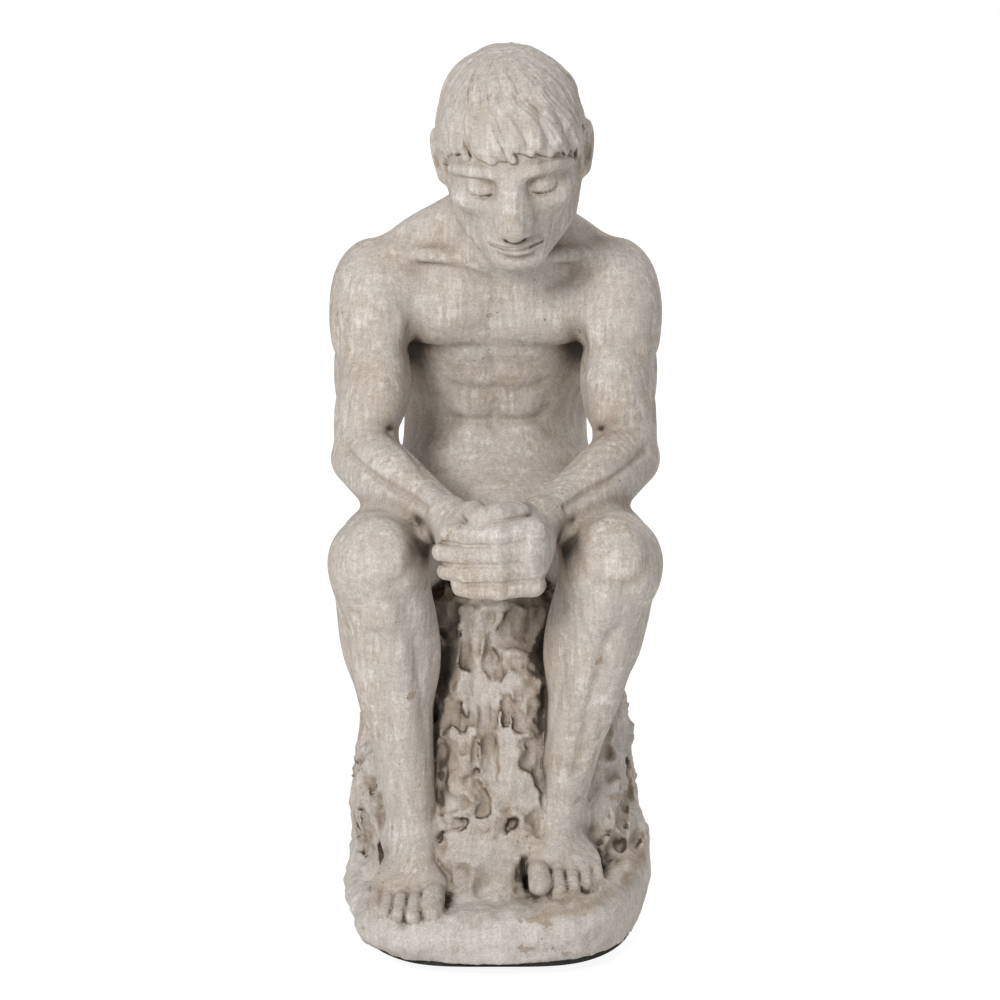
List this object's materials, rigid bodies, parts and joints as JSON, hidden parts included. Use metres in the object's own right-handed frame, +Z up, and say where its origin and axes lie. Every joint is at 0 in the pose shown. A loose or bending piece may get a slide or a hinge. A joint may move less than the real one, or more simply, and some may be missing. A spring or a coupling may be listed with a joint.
{
  "type": "seated figure ornament",
  "caption": "Free-standing cast stone ornament of a seated figure in thought on a rough rock, hands clasped between the knees, on a felted base with rubber feet.",
  "frame": {"origin": "on the surface that the ornament stands on, under the middle of its base", "axes": "+Z up, the figure faces -Y and its right hand is on the -X side"},
  "size_m": [0.149, 0.1937, 0.4015],
  "materials": {
    "cast_stone": "matte lime wash over brushed cast stone, worn and grimy in the creases",
    "steel_rod": "plain drawn rod",
    "dark_felt": "pressed black felt",
    "brown_rubber": "matte rubber"
  },
  "bodies": {
    "root": {"rock_base": "cast_stone", "torso": "cast_stone", "head": "cast_stone", "right_arm": "cast_stone", "left_arm": "cast_stone", "clasped_hands": "cast_stone", "right_leg": "cast_stone", "left_leg": "cast_stone", "neck_dowel": "steel_rod", "shoulder_dowels": "steel_rod", "wrist_dowels": "steel_rod", "hip_dowels": "steel_rod", "foot_dowels": "steel_rod", "seat_dowels": "steel_rod", "base_sheet": "dark_felt", "foot_pads": "brown_rubber"}
  },
  "joints": []
}
